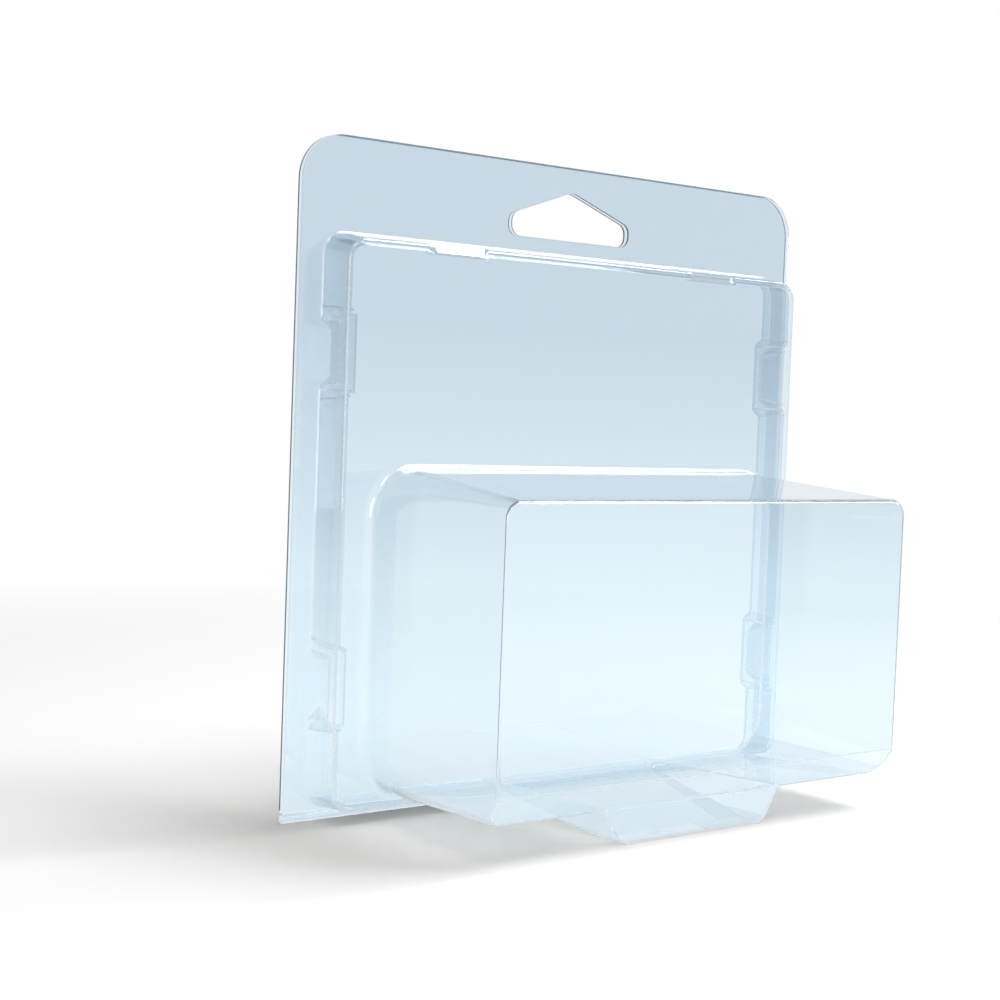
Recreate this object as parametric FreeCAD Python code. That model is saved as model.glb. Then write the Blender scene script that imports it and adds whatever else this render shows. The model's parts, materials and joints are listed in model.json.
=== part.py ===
"""Clear thermoformed clamshell pack that stands by itself or hangs from a peg.

One sheet of clear plastic is formed into two halves and folded over at the
bottom edge. The front half carries a shallow tray, a deep bubble for the goods
and a hollow foot under the bubble. The back half carries a plug that nests in
the tray. All sizes are in millimetres. X runs across the pack, Y from front to
back, Z up, and the pack stands on Z = 0.
"""
import FreeCAD
import Part
import os
from math import acos, atan, cos, degrees, radians, sin, sqrt, tan

V = FreeCAD.Vector

# Sheet and fold
sheet = 0.5                # thickness of the plastic
fold_gap = 0.8             # space between the two flanges
fold_wrap = 50.0           # how far the rolled fold climbs at the back, degrees
hinge_clearance = 0.3      # between the rolled fold and the back half
nest_clearance = 0.35      # between the tray and the plug inside it

# Bubble, measured on the plateau that it rises from
bubble_width = 107.6
bubble_height = 63.9
bubble_depth = 41.1
bubble_corner = 9.5        # at the plateau, tapering to the front
bubble_front_corner = 3.5
bubble_side_draft = 1.6    # degrees
bubble_top_draft = 5.2
bubble_bottom_draft = 3.1
bevel_height = 5.5         # slope along the lower front edge
bevel_depth = 3.9
bubble_edge_round = 0.7
bubble_foot_round = 1.8    # where the bubble leaves the plateau

# Plateau around the bubble, and the walls of the tray
plateau_side = 6.5
plateau_low = 2.2
plateau_high = 43.3
tray_depth = 8.2
tray_corner = 4.5
tray_side_draft = 5.0      # degrees
tray_bottom_draft = 5.0
tray_top_draft = 10.0
tray_edge_round = 0.9
plug_edge_bevel = 0.45
tray_foot_round = 0.6      # where the tray leaves the flange
flare_bury = 0.06          # how far the rounding at the bubble's base reaches into its wall

# Flange around the tray
flange_side = 5.0
flange_low = 2.4
flange_high = 18.6
flange_corner = 9.0

# Stand foot under the bubble
foot_width = 38.0          # across its underside
foot_side_slope = 31.7     # degrees from upright
foot_setback = 1.0         # behind the lower edge of the bevel
foot_pad = 5.0             # level length at its front
foot_corner = 3.0

# Snap notches in the walls of the tray and of the plug
notch_length = 12.5
notch_depth = 2.2          # at the flange
notch_clearance = 0.2      # between the dents of the tray and of the plug
notch_fade = 0.4           # depth that is left at its far end
notch_reach = 6.0          # from the flange towards the plateau
notch_splay = 0.8          # run of each sloped end for each mm of depth
side_notch_low = 26.9      # middle of the lower pair above the floor
side_notch_high = 90.8
top_notch_length = 13.5
top_notch_depth = 1.4      # at the plateau
top_notch_slope = 42.0     # of its floor, degrees from level
top_notch_spread = 34.5    # from the middle of the pack
notch_swing = 1.8          # room along the wall for the swing of the back half

# Hang hole, a flat triangle
hole_width = 32.0
hole_end = 4.6             # height of its two ends
hole_rise = 5.7            # from the ends up to the peak
hole_margin = 5.1          # from the peak to the top edge
hole_round = 2.3
hole_peak_round = 4.0

# Derived places
fold_r = fold_gap / 2 + sheet
front_face = -fold_r                       # front of the front flange
back_face = fold_gap / 2                   # front of the back flange
tray_half = bubble_width / 2 + plateau_side + tray_depth * tan(radians(tray_side_draft))
tray_bottom = flange_low
plateau_bottom = tray_bottom + tray_depth * tan(radians(tray_bottom_draft))
bubble_bottom = plateau_bottom + plateau_low
foot_heel = plateau_bottom + plateau_low / 2   # underside of the foot at the plateau
bubble_top = bubble_bottom + bubble_height
plateau_top = bubble_top + plateau_high
tray_top = plateau_top + tray_depth * tan(radians(tray_top_draft))
pack_half = tray_half + flange_side
pack_height = tray_top + flange_high
plateau_y = front_face - tray_depth
bubble_y = plateau_y - bubble_depth
hole_bottom = pack_height - hole_margin - hole_rise - hole_end
back_bottom = fold_r + sqrt((fold_r + hinge_clearance) ** 2 - (fold_gap / 2) ** 2)
over = 10.0                                # how far a cutting tool stands past the pack
backing = 20.0                             # depth of the solid behind each skin
centre_y = (bubble_y + fold_r) / 2         # middle of the pack from front to back


def unit(vector):
    return vector * (1 / vector.Length)


def prism(points, direction):
    """Straight solid over a closed outline."""
    return Part.Face(Part.makePolygon(points + points[:1])).extrude(direction)


def across(points):
    """Straight solid across the whole pack over (y, z) points."""
    far = pack_half + over
    return prism([V(-far, y, z) for y, z in points], V(2 * far, 0, 0))


def edges_at(shape, y, tolerance=0.01):
    """Edges of a shape that lie wholly in the plane at y, inside the pack's outline."""
    return [e for e in shape.Edges
            if abs(e.BoundBox.YMin - y) < tolerance and abs(e.BoundBox.YMax - y) < tolerance
            and abs(e.CenterOfMass.x) < pack_half and 0 < e.CenterOfMass.z < pack_height]


def drafted_block(back, front):
    """Block between two upright rectangles, each given as (y, half width, low, high)."""
    (y0, half0, low0, high0), (y1, half1, low1, high1) = back, front
    plan = prism([V(-half0, y0, -over), V(half0, y0, -over), V(half1, y1, -over),
                  V(-half1, y1, -over)], V(0, 0, pack_height + 2 * over))
    return plan.common(across([(y0, low0), (y0, high0), (y1, high1), (y1, low1)]))


def tray_section(y, inset):
    run = front_face - y + inset
    return (y, tray_half - inset - run * tan(radians(tray_side_draft)),
            tray_bottom + inset + run * tan(radians(tray_bottom_draft)),
            tray_top - inset - run * tan(radians(tray_top_draft)))


def tray_block(face, inset, edge_round):
    """Tray from the flange surface at y = face to its plateau, drawn in by inset."""
    front = plateau_y + inset
    block = drafted_block(tray_section(face, inset), tray_section(front, inset))
    depth = block.BoundBox.YLength
    corners = [e for e in block.Edges if e.BoundBox.YLength > 0.9 * depth]
    block = block.makeFillet(tray_corner - inset, corners)
    return round_front(block, front, edge_round)


def round_front(block, front, radius):
    """Round the edges of a block's front, or leave them sharp with a radius of 0."""
    return block.makeFillet(radius, edges_at(block, front)) if radius > 0 else block


def bubble_section(y, inset):
    run = plateau_y - y + inset
    return (y, bubble_width / 2 - inset - run * tan(radians(bubble_side_draft)),
            bubble_bottom + inset + run * tan(radians(bubble_bottom_draft)),
            bubble_top - inset - run * tan(radians(bubble_top_draft)))


def tapering_corner(base, tip, inward_x, inward_z, radius_base, radius_tip):
    """Cone that rounds the sharp edge from base to tip, and the wedge that it replaces.

    The cone has its apex on the edge's line, and touches both walls along straight lines.
    """
    edge = tip - base
    apex = base + edge * (radius_base / (radius_base - radius_tip))
    reach = 1.2 * (apex - base).Length
    half_angle = atan(radius_base / (apex - base).Length)
    edge = unit(edge)
    touch, normal = [], []
    for inward in (inward_x, inward_z):
        along_wall = unit(inward - edge * inward.dot(edge))
        touch.append(along_wall * sin(half_angle) - edge * cos(half_angle))
        normal.append(along_wall.cross(edge))
    axis = unit(touch[0].cross(normal[0]).cross(touch[1].cross(normal[1])))
    if axis.dot(edge) > 0:
        axis = axis * -1
    rise = axis.dot(touch[0])
    spokes = [unit(t - axis * axis.dot(t)) for t in touch]
    sweep = degrees(acos(spokes[0].dot(spokes[1])))
    if spokes[0].cross(spokes[1]).dot(axis) < 0:
        sweep = -sweep
    start = Part.Face(Part.makePolygon([apex, apex + axis * reach * rise,
                                        apex + touch[0] * reach, apex]))
    cone = start.revolve(apex, axis, sweep)
    corners = [apex, apex - edge * reach, apex + touch[0] * reach, apex + touch[1] * reach]
    return outward(cone), tetrahedron(corners)


def outward(solid):
    if solid.Volume < 0:
        solid.reverse()
    return solid


def tetrahedron(corners):
    faces = []
    for left_out in range(4):
        loop = [c for i, c in enumerate(corners) if i != left_out]
        faces.append(Part.Face(Part.makePolygon(loop + loop[:1])))
    return outward(Part.Solid(Part.Shell(faces)))


def bubble_block(inset):
    """Drafted bubble with tapering corners and a sloped lower front edge."""
    back, front = plateau_y + inset, bubble_y + inset
    base, tip = bubble_section(back, inset), bubble_section(front, inset)
    block = drafted_block(base, tip)
    span = Part.makeBox(2 * (pack_half + over), back - front, pack_height + 2 * over,
                        V(-pack_half - over, front, -over))
    cones = []
    for side in (-1, 1):
        for level, inward_z in ((2, V(0, 0, 1)), (3, V(0, 0, -1))):
            cone, wedge = tapering_corner(V(side * base[1], back, base[level]),
                                          V(side * tip[1], front, tip[level]),
                                          V(-side, 0, 0), inward_z,
                                          bubble_corner - inset, bubble_front_corner - inset)
            block = block.cut(wedge)
            cones.append(cone.common(span))
    block = block.fuse(cones).removeSplitter().cut(bevel_tool(inset))
    return round_front(block, front, bubble_edge_round - inset)


def outer_round(radius, inset):
    """Over the tray's edge the forming stretches the sheet thin, and only its outside is round."""
    return radius if inset == 0 else 0


def bubble_flare(inset):
    """Rounding where the bubble leaves the plateau, as a low ring round its base."""
    radius = bubble_foot_round + inset
    back = plateau_y + inset
    top = back - radius
    taper = (bubble_corner - bubble_front_corner) / bubble_depth
    y, half, low, high = bubble_section(top, inset)
    half, low, high = half - flare_bury, low + flare_bury, high - flare_bury
    spare = 0.3 * radius
    column = Part.makeBox(2 * half, radius + spare + sheet / 2, high - low,
                          V(-half, top - spare, low))
    corner = bubble_corner - inset - taper * radius
    column = column.makeFillet(corner, [e for e in column.Edges if e.BoundBox.YLength > 0.1])
    rim = radius + 0.2
    plate = Part.makeBox(2 * (half + rim), sheet / 2, high - low + 2 * rim,
                         V(-half - rim, back, low - rim))
    ring = column.fuse(plate).removeSplitter()
    base = [e for e in edges_at(ring, back) if abs(e.BoundBox.XMax) < half + rim / 2
            and abs(e.BoundBox.XMin) < half + rim / 2
            and low - rim / 2 < e.BoundBox.ZMin and e.BoundBox.ZMax < high + rim / 2]
    return ring.makeFillet(radius, base)


def bevel_tool(inset):
    """Wedge that cuts the slope along the lower front edge of the bubble."""
    low = bubble_section(bubble_y, 0.0)[2]
    foot_y = bubble_y + bevel_depth
    foot_z = bubble_section(foot_y, 0.0)[2]
    rise = low + bevel_height - foot_z
    length = sqrt(bevel_depth ** 2 + rise ** 2)
    shift_y, shift_z = inset * rise / length, inset * bevel_depth / length
    slope = rise / bevel_depth
    y0, z0 = foot_y + shift_y, foot_z + shift_z
    return across([(y0 + over, z0 - slope * over), (y0 - over, z0 - slope * over),
                   (y0 - over, z0 + slope * over)])


def foot_block(inset):
    """Hollow foot: a trapezoid under the bubble whose underside climbs to the tray."""
    front = bubble_y + bevel_depth + foot_setback + inset
    top = bubble_bottom + bubble_height / 4
    slope = radians(foot_side_slope)
    half = foot_width / 2 - inset / cos(slope) + inset * tan(slope)
    wide = half + (top - inset) * tan(slope)
    section = [V(-half, front, inset), V(half, front, inset), V(wide, front, top),
               V(-wide, front, top)]
    body = prism(section, V(0, plateau_y - front + sheet, 0))
    corners = [e for e in body.Edges
               if e.BoundBox.ZMax < inset + 0.01 and e.BoundBox.YLength > 1]
    body = body.makeFillet(foot_corner - inset, corners)
    heel = front + foot_pad
    return body.common(across([(front - 1, inset - over), (heel, inset - over), (heel, inset),
                               (plateau_y, foot_heel + inset), (0, foot_heel + inset),
                               (0, top + over), (front - 1, top + over)]))


def side_notch(side, middle, face, grow, fade, reach, room):
    """Tool for a dent in a side wall: deep at the flange, with sloped ends."""
    out = tray_half + 3
    near = tray_half - notch_depth - grow
    far = tray_half - fade - grow
    end = front_face - reach - grow
    plan = prism([V(side * out, face, 0), V(side * near, face, 0), V(side * far, end, 0),
                  V(side * out, end, 0)], V(0, 0, pack_height))
    tip = notch_length / 2 - notch_splay * notch_depth + grow + room
    wide = tip + notch_splay * (out - near)
    shape = prism([V(side * near, face, middle - tip), V(side * near, face, middle + tip),
                   V(side * out, face, middle + wide), V(side * out, face, middle - wide)],
                  V(0, end - face, 0))
    return plan.common(shape)


def top_notch(side, grow):
    """Tool for a dent that slants across the upper edge of the plateau."""
    slope = radians(top_notch_slope)
    y = plateau_y + grow * sin(slope)
    z = plateau_top - top_notch_depth - grow * cos(slope)
    reach = 4.0
    low, high = z - reach * tan(slope), z + reach * tan(slope)
    profile = across([(y - reach, low), (y + reach, high), (y - reach, high)])
    tip = top_notch_length / 2 - notch_splay * top_notch_depth + grow
    wide = tip + notch_splay * (high - z)
    thin = tip + notch_splay * (low - z)
    x = side * top_notch_spread
    shape = prism([V(x - thin, y - reach, low), V(x + thin, y - reach, low),
                   V(x + wide, y - reach, high), V(x - wide, y - reach, high)],
                  V(0, 2 * reach, 0))
    return profile.common(shape)


def notches(face, grow, fade, reach, room=0.0):
    tools = [side_notch(s, z, face, grow, fade, reach, room) for s in (-1, 1)
             for z in (side_notch_low, side_notch_high)]
    return tools + [top_notch(s, grow) for s in (-1, 1)]


def slab(face):
    """Solid behind a flange surface, wider than the pack."""
    return Part.makeBox(2 * (pack_half + over), backing, pack_height + 2 * over,
                        V(-pack_half - over, face, -over))


def front_skin(inset):
    """Everything behind the front surface of the front half, drawn in by inset."""
    face = front_face + inset
    body = slab(face).fuse(tray_block(face, inset, outer_round(tray_edge_round, inset)))
    body = body.removeSplitter()
    body = body.makeFillet(tray_foot_round + inset, edges_at(body, face))
    for tool in notches(face, inset, notch_fade, notch_reach):
        body = body.cut(tool)
    return body.fuse([bubble_block(inset), bubble_flare(inset), foot_block(inset)])


def back_skin(inset):
    """Everything behind the front surface of the back half, drawn in by inset."""
    face = back_face + inset
    deep = sheet + nest_clearance + inset
    plug = tray_block(face, deep, 0)
    if inset == 0:
        plug = plug.makeChamfer(plug_edge_bevel, edges_at(plug, plateau_y + deep))
    body = slab(face).fuse(plug).removeSplitter()
    dent = sheet + notch_clearance + inset
    for tool in notches(face, dent, notch_depth, tray_depth + 2 * sheet, notch_swing):
        body = body.cut(tool)
    return body


def outline(bottom):
    """Column with the outline of a flange: square below, rounded at its upper corners."""
    plate = Part.makeBox(2 * pack_half, 2 * backing + bubble_depth + tray_depth * 2,
                         pack_height - bottom,
                         V(-pack_half, bubble_y - 5, bottom))
    corners = [e for e in plate.Edges if e.BoundBox.YLength > 1
               and e.BoundBox.ZMin > pack_height - 0.01]
    return plate.makeFillet(flange_corner, corners)


def hang_hole():
    """Flat triangular hole with rounded corners, cut through a flange."""
    half = hole_width / 2
    points = [V(-half, -5, hole_bottom), V(half, -5, hole_bottom),
              V(half, -5, hole_bottom + hole_end),
              V(0, -5, hole_bottom + hole_end + hole_rise),
              V(-half, -5, hole_bottom + hole_end)]
    tool = prism(points, V(0, 10, 0))
    along = [e for e in tool.Edges if e.BoundBox.YLength > 1]
    ends = [e for e in along if abs(e.BoundBox.Center.x) > 0.01]
    tool = tool.makeFillet(hole_round, ends)
    peak = [e for e in tool.Edges if e.BoundBox.YLength > 1
            and abs(e.BoundBox.Center.x) < 0.01 and e.BoundBox.ZMin > hole_bottom + hole_end]
    return tool.makeFillet(hole_peak_round, peak)


def rolled_fold():
    """The sheet rolled round the hinge line, open towards the top."""
    start, along = V(-pack_half, 0, fold_r), V(1, 0, 0)
    ring = Part.makeCylinder(fold_r, 2 * pack_half, start, along)
    ring = ring.cut(Part.makeCylinder(fold_gap / 2, 2 * pack_half, start, along))
    far = 3 * fold_r
    wrap = radians(fold_wrap)
    return ring.cut(across([(0, fold_r), (-far, fold_r), (-far, fold_r + far), (0, fold_r + far),
                            (far * cos(wrap), fold_r + far * sin(wrap))]))


def front_shell():
    form = front_skin(0.0).cut(front_skin(sheet))
    flange = form.common(outline(fold_r))
    foot = form.common(Part.makeBox(4 * foot_width, bubble_depth + tray_depth + 1, fold_r + 0.01,
                                    V(-2 * foot_width, bubble_y - 1, 0)))
    return flange.fuse([foot, rolled_fold()]).cut(hang_hole()).removeSplitter()


def back_shell():
    form = back_skin(0.0).cut(back_skin(sheet))
    return form.common(outline(back_bottom)).cut(hang_hole()).removeSplitter()


def main():
    os.makedirs("parts", exist_ok=True)
    for name, shape in (("front_shell", front_shell()), ("back_shell", back_shell())):
        shape.translate(V(0, -centre_y, 0))
        shape.exportStep("parts/" + name + ".step")
        box = shape.BoundBox
        print(name, "solids", len(shape.Solids), "valid", shape.isValid(),
              "volume", round(shape.Volume, 1), "faces", len(shape.Faces),
              [round(v, 2) for v in (box.XMin, box.XMax, box.YMin, box.YMax, box.ZMin, box.ZMax)])


if __name__ == "__main__":
    main()
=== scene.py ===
"""Looks for the clear clamshell pack: sheet finish, stage, lights and camera."""
import json
import math

import bpy
from mathutils import Matrix, Vector

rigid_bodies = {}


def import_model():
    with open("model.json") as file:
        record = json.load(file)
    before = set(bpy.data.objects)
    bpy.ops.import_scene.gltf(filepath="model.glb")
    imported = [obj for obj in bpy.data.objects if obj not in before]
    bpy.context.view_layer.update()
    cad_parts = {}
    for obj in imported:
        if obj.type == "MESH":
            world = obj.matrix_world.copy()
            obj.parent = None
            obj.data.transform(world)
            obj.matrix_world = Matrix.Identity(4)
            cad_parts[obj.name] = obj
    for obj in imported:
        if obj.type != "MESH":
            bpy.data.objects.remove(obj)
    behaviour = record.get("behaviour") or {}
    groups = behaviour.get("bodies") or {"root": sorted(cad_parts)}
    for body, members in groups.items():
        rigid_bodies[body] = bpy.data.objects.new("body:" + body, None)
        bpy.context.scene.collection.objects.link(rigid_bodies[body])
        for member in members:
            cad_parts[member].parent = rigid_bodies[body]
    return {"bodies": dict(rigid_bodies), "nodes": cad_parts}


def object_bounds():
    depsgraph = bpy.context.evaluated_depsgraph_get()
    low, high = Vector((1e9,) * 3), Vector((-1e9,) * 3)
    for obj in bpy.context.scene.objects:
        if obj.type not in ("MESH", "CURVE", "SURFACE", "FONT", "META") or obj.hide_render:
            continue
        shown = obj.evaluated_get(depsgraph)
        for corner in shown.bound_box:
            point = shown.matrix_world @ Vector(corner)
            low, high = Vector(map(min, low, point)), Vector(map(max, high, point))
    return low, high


bl_info = {
    "name": "Clear Clamshell Pack",
    "version": (1, 0, 0),
    "blender": (4, 5, 0),
    "location": "View3D > Sidebar > Clamshell",
    "description": "Dresses a thermoformed clamshell pack and sets it on a pale stage",
    "category": "Object",
}

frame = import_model()
CAD_LOW, CAD_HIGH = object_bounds()

# Places on the pack, in metres. A pair is where a change starts and where it is complete.
TRAY_TOP, TRAY_SIDE, FOLD_TOP = 0.1145, 0.0640, 0.0025    # only flange lies beyond these
FLANGE_MIDDLE = 0.02465    # between the front flange and the back one
FLANGE_TOP = CAD_HIGH[2] - 0.00012    # lip that the die leaves along the top, given painted shade
HOLE_SIDE = 0.04    # the hang hole lies within this distance of the middle
RIGHT_WALL = 0.056    # the tray's right wall lies to the right of this
TINT_RISE = (0.045, 0.097)    # the sheet's tint deepens upwards
WALL_SHADE_RISE = (0.02, 0.06)    # the walls' painted shade sets in upwards
BUBBLE_TO_TRAY = (0.0, 0.004)    # from the bubble's walls back to the tray's
FRONT_EDGES = (-0.0235, -0.018)    # from the bubble's front edges backwards
FOOT_EDGES = (0.022, 0.012)    # from the bubble down to the foot

# Faces, by how far their normal turns to the front or upwards
CUT_EDGE_TURN = 0.3    # at most this much to the front on an edge that the die cut
WALL_TURN = 0.5    # at most this much to the front on a wall
LEVEL_TURN = 0.9    # at least this much upwards on a level edge
NEAR_LEVEL_TURN = 0.6    # at least this much upwards on a face that lies nearly level

# Shares of the painted shade on walls and level faces, and how far painted light clears the
# tray's right wall of its tint
BUBBLE_SHADE_SHARE, TRAY_SHADE_SHARE, LEVEL_SHADE_SHARE = 0.5, 0.9, 0.75
RIGHT_WALL_PAINTED_LIGHT = 0.85

RIPPLE_WAVES = (90.0, 90.0, 12.0)    # per metre: each is 11 mm wide and 83 mm high
FLOOR_GLARE = 0.75    # how far the floor is whitened when seen through the sheet
FLOOR_WHITE = (0.16, 0.45)    # distances from the pack over which the floor turns white
FLOOR_GAP = 0.0006    # between the sunk floor and the open back half
ROOM_LIGHT = 0.2    # strength of the room's own light on the object

CAMERA_PLACE = (-0.236901, -0.263018, 0.080924)
CAMERA_YAW, CAMERA_PITCH, CAMERA_ROLL = 0.65532, -0.05103, 0.0373
LENS_MM, SENSOR_MM = 62.85, 36.0


def srgb(hex_text):
    """Linear colour from an sRGB hex value such as 'E4EFF7'."""
    values = [int(hex_text[i:i + 2], 16) / 255 for i in (0, 2, 4)]
    linear = [v / 12.92 if v <= 0.04045 else ((v + 0.055) / 1.055) ** 2.4 for v in values]
    return (*linear, 1.0)


def add_node(tree, kind, links=(), **settings):
    """Add one node. Settings name its properties or sockets. A link is a socket and its
    source: a socket of another node, a node whose first output is meant, or a plain value."""
    node = tree.nodes.new(kind)
    for name, value in settings.items():
        if hasattr(node, name) and name not in node.inputs:
            setattr(node, name, value)
        else:
            node.inputs[name].default_value = value
    for socket, source in links:
        if isinstance(source, bpy.types.Node):
            source = source.outputs[0]
        if isinstance(source, bpy.types.NodeSocket):
            tree.links.new(source, node.inputs[socket])
        else:
            node.inputs[socket].default_value = source
    return node


def empty_material(name):
    """A material of this name with no nodes in it."""
    material = bpy.data.materials.get(name) or bpy.data.materials.new(name)
    material.use_nodes = True
    material.node_tree.nodes.clear()
    return material


class ClearSheetLook(bpy.types.PropertyGroup):
    """Finish of the clear sheet."""
    tint_high: bpy.props.FloatVectorProperty(
        name="Tint at the Top", description="What one layer lets through near the hang hole",
        subtype="COLOR", size=4, min=0, max=1, default=srgb("E0EAF1"))
    tint_low: bpy.props.FloatVectorProperty(
        name="Tint at the Bottom", description="What one layer lets through near the floor",
        subtype="COLOR", size=4, min=0, max=1, default=srgb("F1FAFF"))
    # Painted shade: this colour darkens the walls and the level faces where they should look
    # shaded
    painted_wall_shade: bpy.props.FloatVectorProperty(
        name="Tint of the Walls", description="What the walls that run front to back take away",
        subtype="COLOR", size=4, min=0, max=1, default=srgb("EBEEF0"))
    roughness: bpy.props.FloatProperty(
        name="Roughness", description="Gloss of the formed sheet", min=0, max=1, default=0.0)
    ior: bpy.props.FloatProperty(
        name="IOR", description="Refractive index of clear PET", min=1, max=2, default=1.57)
    ripple: bpy.props.FloatProperty(
        name="Ripple Height", description="Unevenness left by the forming",
        subtype="DISTANCE", unit="LENGTH", min=0, max=0.001, default=0.00001)
    longest_path: bpy.props.FloatProperty(
        name="Longest Light Path", description="Bounces after which the sheet shows its own tint",
        min=1, default=9.5)
    most_mirrorings: bpy.props.FloatProperty(
        name="Most Mirrorings", description="Mirrorings inside the sheet's edge before the same",
        min=1, default=2.5)
    # Painted light: strengths of the glow that the sheet gives off where rays run long inside it
    painted_glow_near: bpy.props.FloatProperty(
        name="Trapped Light in Front", description="Light that runs inside the bubble's edges",
        min=0, default=0.3)
    painted_glow_far: bpy.props.FloatProperty(
        name="Trapped Light Behind", description="Light that runs inside the tray's edges",
        min=0, default=0.85)
    # Painted shade: a dark matt colour on the cut edges and the lip along the top where they
    # should look shaded
    painted_edge_shade: bpy.props.FloatVectorProperty(
        name="Cut Edge in Shade", description="Edge of the back flange and along the top",
        subtype="COLOR", size=4, min=0, max=1, default=srgb("7C8E99"))


class StageLook(bpy.types.PropertyGroup):
    """Floor and lights."""
    floor_size: bpy.props.FloatProperty(
        name="Floor Size", description="Side of the square floor", unit="LENGTH", default=6.0)
    key_power: bpy.props.FloatProperty(
        name="Key Light", description="Power of the large softbox", subtype="POWER", min=0,
        default=5.4)
    strip_power: bpy.props.FloatProperty(
        name="Upper Strip", description="Power of the long strip above", subtype="POWER", min=0,
        default=1.5)
    left_power: bpy.props.FloatProperty(
        name="Left Light", description="Power of the softbox that lines the upright edges",
        subtype="POWER", min=0, default=2.4)
    corner_power: bpy.props.FloatProperty(
        name="Corner Light", description="Power of the softbox that lines the rounded corners",
        subtype="POWER", min=0, default=0.9)
    notch_power: bpy.props.FloatProperty(
        name="Notch Light", description="Power of the small light that shines off the notches",
        subtype="POWER", min=0, default=0.6)


def edge_shade_mask(tree, place, normal):
    """1 on the die-cut edges that get painted shade, those that face up, lie behind or lie by the
    hang hole, and on the lip along the top; 0 elsewhere.
    """
    frontward = add_node(tree, "ShaderNodeMath", [(0, normal.outputs["Y"])],
                         operation="ABSOLUTE")
    sideways = add_node(tree, "ShaderNodeMath", [(0, frontward), (1, CUT_EDGE_TURN)],
                        operation="LESS_THAN")
    above = add_node(tree, "ShaderNodeMath", [(0, place.outputs["Z"]), (1, TRAY_TOP)],
                     operation="GREATER_THAN")
    from_middle = add_node(tree, "ShaderNodeMath", [(0, place.outputs["X"])],
                           operation="ABSOLUTE")
    beside = add_node(tree, "ShaderNodeMath", [(0, from_middle), (1, TRAY_SIDE)],
                      operation="GREATER_THAN")
    beyond_tray = add_node(tree, "ShaderNodeMath", [(0, above), (1, beside)],
                           operation="MAXIMUM")
    clear_of_fold = add_node(tree, "ShaderNodeMath", [(0, place.outputs["Z"]), (1, FOLD_TOP)],
                             operation="GREATER_THAN")
    on_flange = add_node(tree, "ShaderNodeMath", [(0, beyond_tray), (1, clear_of_fold)],
                         operation="MULTIPLY")
    upward = add_node(tree, "ShaderNodeMath", [(0, normal.outputs["Z"])], operation="ABSOLUTE")
    level = add_node(tree, "ShaderNodeMath", [(0, upward), (1, LEVEL_TURN)],
                     operation="GREATER_THAN")
    behind = add_node(tree, "ShaderNodeMath", [(0, place.outputs["Y"]), (1, FLANGE_MIDDLE)],
                      operation="GREATER_THAN")
    level_or_behind = add_node(tree, "ShaderNodeMath", [(0, level), (1, behind)],
                               operation="MAXIMUM")
    hole = add_node(tree, "ShaderNodeMath", [(0, from_middle), (1, HOLE_SIDE)],
                    operation="LESS_THAN")
    shaded = add_node(tree, "ShaderNodeMath", [(0, level_or_behind), (1, hole)],
                      operation="MAXIMUM")
    cut = add_node(tree, "ShaderNodeMath", [(0, sideways), (1, on_flange)],
                   operation="MULTIPLY")
    rim = add_node(tree, "ShaderNodeMath", [(0, cut), (1, shaded)], operation="MULTIPLY")
    lip = add_node(tree, "ShaderNodeMath", [(0, place.outputs["Z"]), (1, FLANGE_TOP)],
                   operation="GREATER_THAN")
    return add_node(tree, "ShaderNodeMath", [(0, rim), (1, lip)], operation="MAXIMUM")


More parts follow.
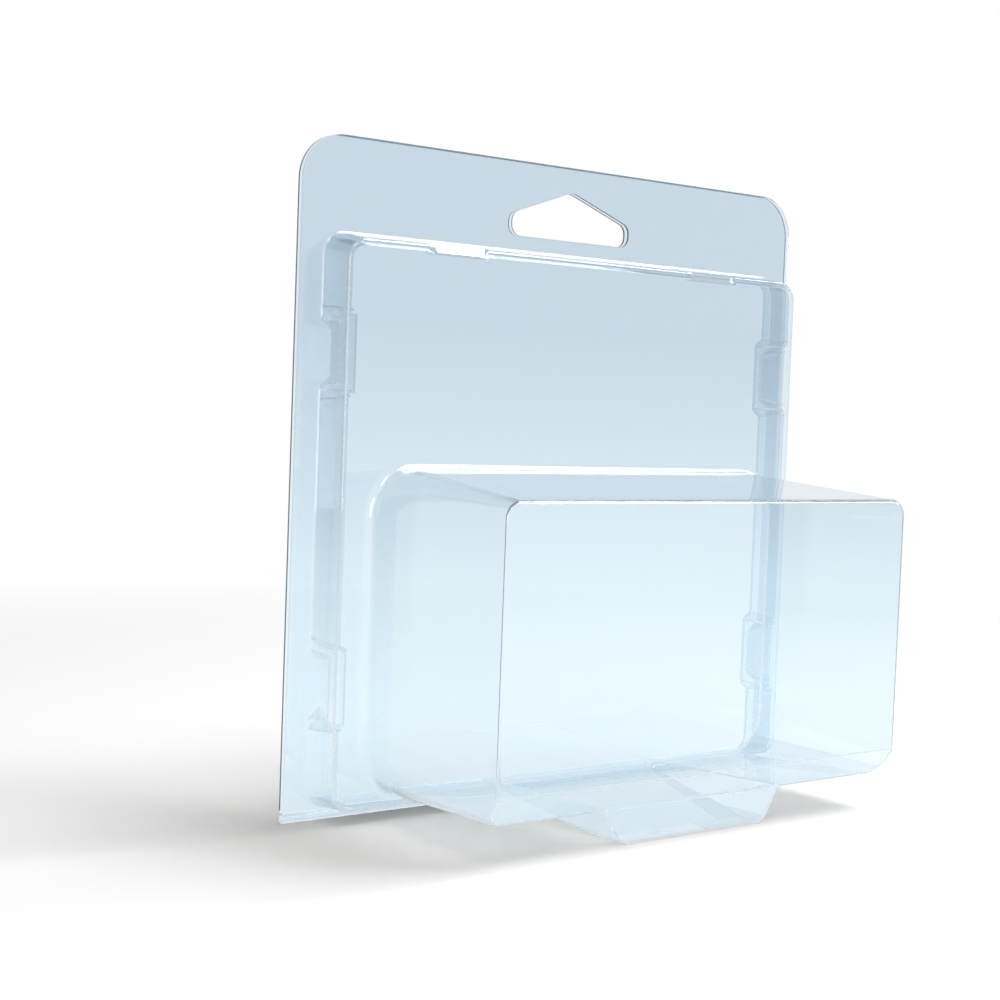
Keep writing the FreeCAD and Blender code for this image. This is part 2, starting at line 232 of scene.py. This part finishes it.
def sheet_tint(tree, place, normal, look):
    """What one layer lets through, bluer upwards, with painted shade on most walls and on level
    faces and painted light that clears the tray's right wall.
    """
    height = add_node(tree, "ShaderNodeMapRange",
                      [("Value", place.outputs["Z"]), ("From Min", TINT_RISE[0]),
                       ("From Max", TINT_RISE[1])])
    graded = add_node(tree, "ShaderNodeMix", [("Factor", height), (6, look.tint_low),
                                             (7, look.tint_high)], data_type="RGBA")
    # Painted shade on the walls left of the tray's right wall and on level faces, by which way
    # each face turns
    frontward = add_node(tree, "ShaderNodeMath", [(0, normal.outputs["Y"])],
                         operation="ABSOLUTE")
    wall = add_node(tree, "ShaderNodeMath", [(0, frontward), (1, WALL_TURN)],
                    operation="LESS_THAN")
    # Painted light: the tray's right wall is cleared towards white
    right = add_node(tree, "ShaderNodeMath", [(0, place.outputs["X"]), (1, RIGHT_WALL)],
                     operation="GREATER_THAN")
    right_wall = add_node(tree, "ShaderNodeMath", [(0, wall), (1, right)],
                          operation="MULTIPLY")
    right_painted_light = add_node(tree, "ShaderNodeMath", [(0, right_wall), (1, RIGHT_WALL_PAINTED_LIGHT)],
                         operation="MULTIPLY")
    lightened_right = add_node(tree, "ShaderNodeMix",
                       [("Factor", right_painted_light), (6, graded.outputs[2]), (7, srgb("FFFFFF"))],
                       data_type="RGBA")
    rise = add_node(tree, "ShaderNodeMapRange",
                    [("Value", place.outputs["Z"]), ("From Min", WALL_SHADE_RISE[0]),
                     ("From Max", WALL_SHADE_RISE[1])])
    share = add_node(tree, "ShaderNodeMapRange",
                     [("Value", place.outputs["Y"]), ("From Min", BUBBLE_TO_TRAY[0]),
                      ("From Max", BUBBLE_TO_TRAY[1]), ("To Min", BUBBLE_SHADE_SHARE),
                      ("To Max", TRAY_SHADE_SHARE)])
    left = add_node(tree, "ShaderNodeMath", [(0, place.outputs["X"]), (1, RIGHT_WALL)],
                    operation="LESS_THAN")
    risen_wall = add_node(tree, "ShaderNodeMath", [(0, wall), (1, rise)],
                          operation="MULTIPLY")
    left_share = add_node(tree, "ShaderNodeMath", [(0, share), (1, left)],
                          operation="MULTIPLY")
    walls = add_node(tree, "ShaderNodeMath", [(0, risen_wall), (1, left_share)],
                     operation="MULTIPLY")
    upward = add_node(tree, "ShaderNodeMath", [(0, normal.outputs["Z"])], operation="ABSOLUTE")
    near_level = add_node(tree, "ShaderNodeMath", [(0, upward), (1, NEAR_LEVEL_TURN)],
                          operation="GREATER_THAN")
    level_shade = add_node(tree, "ShaderNodeMath", [(0, near_level), (1, LEVEL_SHADE_SHARE)],
                           operation="MULTIPLY")
    painted_shade = add_node(tree, "ShaderNodeMath", [(0, walls), (1, level_shade)],
                      operation="MAXIMUM")
    tint_with_shade = add_node(tree, "ShaderNodeMix",
                      [("Factor", painted_shade), (6, lightened_right.outputs[2]), (7, look.painted_wall_shade)],
                      data_type="RGBA", blend_type="MULTIPLY")
    return tint_with_shade.outputs[2]


def painted_glow(tree, place, path, tint, look):
    """Rays that run long inside the sheet, and the painted glow, an emission in the sheet's tint,
    that they meet in place of the light that would come out.
    """
    long_way = add_node(tree, "ShaderNodeMath",
                        [(0, path.outputs["Ray Depth"]), (1, look.longest_path)],
                        operation="GREATER_THAN")
    mirrored = add_node(tree, "ShaderNodeMath",
                        [(0, path.outputs["Glossy Depth"]), (1, look.most_mirrorings)],
                        operation="GREATER_THAN")
    trapped = add_node(tree, "ShaderNodeMath", [(0, long_way), (1, mirrored)],
                       operation="MAXIMUM")
    inward = add_node(tree, "ShaderNodeMapRange",
                      [("Value", place.outputs["Y"]), ("From Min", FRONT_EDGES[0]),
                       ("From Max", FRONT_EDGES[1])])
    downward = add_node(tree, "ShaderNodeMapRange",
                        [("Value", place.outputs["Z"]), ("From Min", FOOT_EDGES[0]),
                         ("From Max", FOOT_EDGES[1])])
    away = add_node(tree, "ShaderNodeMath", [(0, inward), (1, downward)], operation="MAXIMUM")
    strength = add_node(tree, "ShaderNodeMapRange",
                        [("Value", away), ("To Min", look.painted_glow_near),
                         ("To Max", look.painted_glow_far)])
    glow = add_node(tree, "ShaderNodeEmission", [("Color", tint), ("Strength", strength)])
    return trapped, glow


def clear_sheet_material(look):
    """Clear PET sheet, thermoformed: smooth and glossy, faintly blue, a little wavy."""
    material = empty_material("clear_pet_sheet")
    tree = material.node_tree
    coords = add_node(tree, "ShaderNodeTexCoord")
    place = add_node(tree, "ShaderNodeSeparateXYZ", [("Vector", coords.outputs["Object"])])
    normal = add_node(tree, "ShaderNodeSeparateXYZ", [("Vector", coords.outputs["Normal"])])
    tint = sheet_tint(tree, place, normal, look)
    waves = add_node(tree, "ShaderNodeMapping", [("Vector", coords.outputs["Object"])],
                     Scale=RIPPLE_WAVES)
    ripple = add_node(tree, "ShaderNodeTexNoise", [("Vector", waves)], Scale=1.0, Detail=1.0)
    bump = add_node(tree, "ShaderNodeBump", [("Height", ripple)],
                    Distance=look.ripple, Strength=1.0)
    sheet = add_node(tree, "ShaderNodeBsdfPrincipled",
                     [("Base Color", tint), ("Normal", bump), ("Transmission Weight", 1.0)],
                     Roughness=look.roughness, IOR=look.ior)
    path = add_node(tree, "ShaderNodeLightPath")
    shade = add_node(tree, "ShaderNodeBsdfTransparent", Color=srgb("CCC8C4"))
    lit = add_node(tree, "ShaderNodeMixShader",
                   [("Fac", path.outputs["Is Shadow Ray"]), (1, sheet), (2, shade)])
    # Painted light: where a ray has run long inside the sheet, the sheet glows in its tint
    trapped, glow = painted_glow(tree, place, path, tint, look)
    glowing = add_node(tree, "ShaderNodeMixShader", [("Fac", trapped), (1, lit), (2, glow)])
    # Painted shade on the cut edges and the lip along the top
    edge_shade_paint = add_node(tree, "ShaderNodeBsdfDiffuse", Color=look.painted_edge_shade)
    rimmed = add_node(tree, "ShaderNodeMixShader",
                      [("Fac", edge_shade_mask(tree, place, normal)), (1, glowing), (2, edge_shade_paint)])
    add_node(tree, "ShaderNodeOutputMaterial", [("Surface", rimmed)])
    return material


def dress(node, material):
    """Give a CAD node its finish."""
    piece = frame["nodes"][node]
    if not piece.material_slots:
        piece.data.materials.append(material)
    for slot in piece.material_slots:
        slot.material = material


class CLAMSHELL_OT_front_shell(bpy.types.Operator):
    """Finish the front half: flange, tray, bubble, foot and rolled fold"""
    bl_idname = "clamshell.front_shell"
    bl_label = "Front Shell"

    def execute(self, context):
        dress("front_shell", clear_sheet_material(context.scene.clear_sheet_look))
        return {"FINISHED"}


class CLAMSHELL_OT_back_shell(bpy.types.Operator):
    """Finish the back half: flange and plug"""
    bl_idname = "clamshell.back_shell"
    bl_label = "Back Shell"

    def execute(self, context):
        dress("back_shell", clear_sheet_material(context.scene.clear_sheet_look))
        return {"FINISHED"}


def seen_white(tree, path):
    """1 for rays that show the backdrop, directly or through clear or shiny things."""
    straight = add_node(tree, "ShaderNodeMath", [(0, path.outputs["Is Camera Ray"]),
                                                (1, path.outputs["Is Transmission Ray"])],
                        operation="MAXIMUM")
    shown = add_node(tree, "ShaderNodeMath", [(0, straight),
                                             (1, path.outputs["Is Glossy Ray"])],
                     operation="MAXIMUM")
    unscattered = add_node(tree, "ShaderNodeMath", [(0, path.outputs["Diffuse Depth"]),
                                                   (1, 0.5)], operation="LESS_THAN")
    return add_node(tree, "ShaderNodeMath", [(0, shown), (1, unscattered)],
                    operation="MULTIPLY")


def floor_material():
    """Matt white board, lifted to the white of the backdrop where it is seen."""
    material = empty_material("white_board")
    tree = material.node_tree
    board = add_node(tree, "ShaderNodeBsdfDiffuse", Color=srgb("F0F0F0"))
    path = add_node(tree, "ShaderNodeLightPath")
    seen = seen_white(tree, path)
    lift = add_node(tree, "ShaderNodeEmission", [("Strength", seen)], Color=srgb("404040"))
    near = add_node(tree, "ShaderNodeAddShader", [(0, board), (1, lift)])
    glare = add_node(tree, "ShaderNodeMath", [(0, path.outputs["Is Transmission Ray"]),
                                             (1, FLOOR_GLARE)], operation="MULTIPLY")
    white = add_node(tree, "ShaderNodeEmission", Color=srgb("FFFFFF"), Strength=1.0)
    coords = add_node(tree, "ShaderNodeTexCoord")
    distance = add_node(tree, "ShaderNodeVectorMath", [(0, coords.outputs["Object"])],
                        operation="LENGTH")
    far = add_node(tree, "ShaderNodeMapRange",
                   [("Value", distance.outputs["Value"]), ("From Min", FLOOR_WHITE[0]),
                    ("From Max", FLOOR_WHITE[1])])
    whiter = add_node(tree, "ShaderNodeMath", [(0, far), (1, glare)], operation="MAXIMUM")
    shown = add_node(tree, "ShaderNodeMath", [(0, whiter), (1, seen)], operation="MULTIPLY")
    both = add_node(tree, "ShaderNodeMixShader", [("Fac", shown), (1, near), (2, white)])
    add_node(tree, "ShaderNodeOutputMaterial", [("Surface", both)])
    return material


def pale_room():
    """World that is seen as white and lights the object only a little."""
    world = bpy.data.worlds.new("pale_room")
    world.use_nodes = True
    tree = world.node_tree
    tree.nodes.clear()
    path = add_node(tree, "ShaderNodeLightPath")
    room = add_node(tree, "ShaderNodeBackground", Color=srgb("FFFFFF"), Strength=ROOM_LIGHT)
    white = add_node(tree, "ShaderNodeBackground", Color=srgb("FFFFFF"), Strength=1.0)
    both = add_node(tree, "ShaderNodeMixShader",
                    [("Fac", seen_white(tree, path)), (1, room), (2, white)])
    add_node(tree, "ShaderNodeOutputWorld", [("Surface", both)])
    return world


def keep_floor_below(floor, body):
    """The open back half hangs lower than the stand, so the floor sinks out of its way."""
    guard = bpy.data.objects.new("floor_guard", None)
    bpy.context.scene.collection.objects.link(guard)
    guard.parent = frame["bodies"][body]
    guard.location = (0, CAD_HIGH[1], CAD_HIGH[2] + FLOOR_GAP)
    sink = floor.constraints.new("COPY_LOCATION")
    sink.target, sink.use_x, sink.use_y = guard, False, False
    stop = floor.constraints.new("LIMIT_LOCATION")
    stop.use_max_z, stop.max_z = True, 0.0


def softbox(name, place, target, size, power):
    """White rectangular lamp at a place, turned to its target."""
    light = bpy.data.lights.new(name, "AREA")
    light.shape = "RECTANGLE"
    light.size, light.size_y = size
    light.energy = power
    lamp = bpy.data.objects.new(name, light)
    bpy.context.scene.collection.objects.link(lamp)
    lamp.location = place
    lamp.rotation_euler = (Vector(target) - Vector(place)).to_track_quat("-Z", "Y").to_euler()


def photo_camera():
    """Camera at the photograph's place, turned a little about its own axis."""
    ahead = Vector((math.sin(CAMERA_YAW) * math.cos(CAMERA_PITCH),
                    math.cos(CAMERA_YAW) * math.cos(CAMERA_PITCH), math.sin(CAMERA_PITCH)))
    level_right = Vector((math.cos(CAMERA_YAW), -math.sin(CAMERA_YAW), 0))
    level_up = level_right.cross(ahead)
    right = math.cos(CAMERA_ROLL) * level_right + math.sin(CAMERA_ROLL) * level_up
    up = math.cos(CAMERA_ROLL) * level_up - math.sin(CAMERA_ROLL) * level_right
    data = bpy.data.cameras.new("photo_camera")
    data.lens, data.sensor_width = LENS_MM, SENSOR_MM
    data.clip_start = 0.01
    camera = bpy.data.objects.new("photo_camera", data)
    bpy.context.scene.collection.objects.link(camera)
    turn = Matrix((right, up, -ahead)).transposed().to_4x4()
    camera.matrix_world = Matrix.Translation(CAMERA_PLACE) @ turn
    bpy.context.scene.camera = camera


class CLAMSHELL_OT_stage(bpy.types.Operator):
    """Add the floor, the lights, the backdrop and the camera"""
    bl_idname = "clamshell.stage"
    bl_label = "Stage"

    def execute(self, context):
        look = context.scene.stage_look
        bpy.ops.object.select_all(action="DESELECT")
        bpy.ops.mesh.primitive_plane_add(size=look.floor_size, location=(0, 0, 0))
        floor = context.object
        floor.name = "floor"
        floor.data.materials.append(floor_material())
        keep_floor_below(floor, "back_half")
        context.scene.world = pale_room()
        softbox("key_softbox", (0.35, -0.2, 0.7), (0, 0, 0.02), (0.45, 0.45), look.key_power)
        softbox("upper_strip", (0.5, -0.05, 0.6), (0, 0, 0.06), (0.06, 0.9), look.strip_power)
        softbox("notch_light", (0.46, 0.15, 0.73), (0, 0, 0.118), (0.16, 0.16),
                look.notch_power)
        softbox("left_softbox", (-0.75, -0.45, 0.25), (0, 0, 0.06), (0.45, 0.5),
                look.left_power)
        softbox("corner_softbox", (-0.28, -0.36, 0.72), (-0.05, 0, 0.09), (0.35, 0.12),
                look.corner_power)
        photo_camera()
        context.scene.view_settings.view_transform = "Standard"
        return {"FINISHED"}


class CLAMSHELL_PT_panel(bpy.types.Panel):
    """Sizes and colours of the pack and its stage, with a button for each step"""
    bl_idname = "CLAMSHELL_PT_panel"
    bl_label = "Clamshell Pack"
    bl_space_type = "VIEW_3D"
    bl_region_type = "UI"
    bl_category = "Clamshell"

    def draw(self, context):
        scene = context.scene
        for look in (scene.clear_sheet_look, scene.stage_look):
            for name in look.__annotations__:
                self.layout.prop(look, name)
        for operator in OPERATORS:
            self.layout.operator(operator.bl_idname)


OPERATORS = (CLAMSHELL_OT_front_shell, CLAMSHELL_OT_back_shell, CLAMSHELL_OT_stage)
CLASSES = (ClearSheetLook, StageLook, *OPERATORS, CLAMSHELL_PT_panel)


def register():
    for cls in CLASSES:
        bpy.utils.register_class(cls)
    bpy.types.Scene.clear_sheet_look = bpy.props.PointerProperty(type=ClearSheetLook)
    bpy.types.Scene.stage_look = bpy.props.PointerProperty(type=StageLook)


def unregister():
    del bpy.types.Scene.stage_look
    del bpy.types.Scene.clear_sheet_look
    for cls in reversed(CLASSES):
        bpy.utils.unregister_class(cls)


def main():
    register()
    bpy.ops.clamshell.front_shell()
    bpy.ops.clamshell.back_shell()
    bpy.ops.clamshell.stage()


if __name__ == "__main__":
    main()
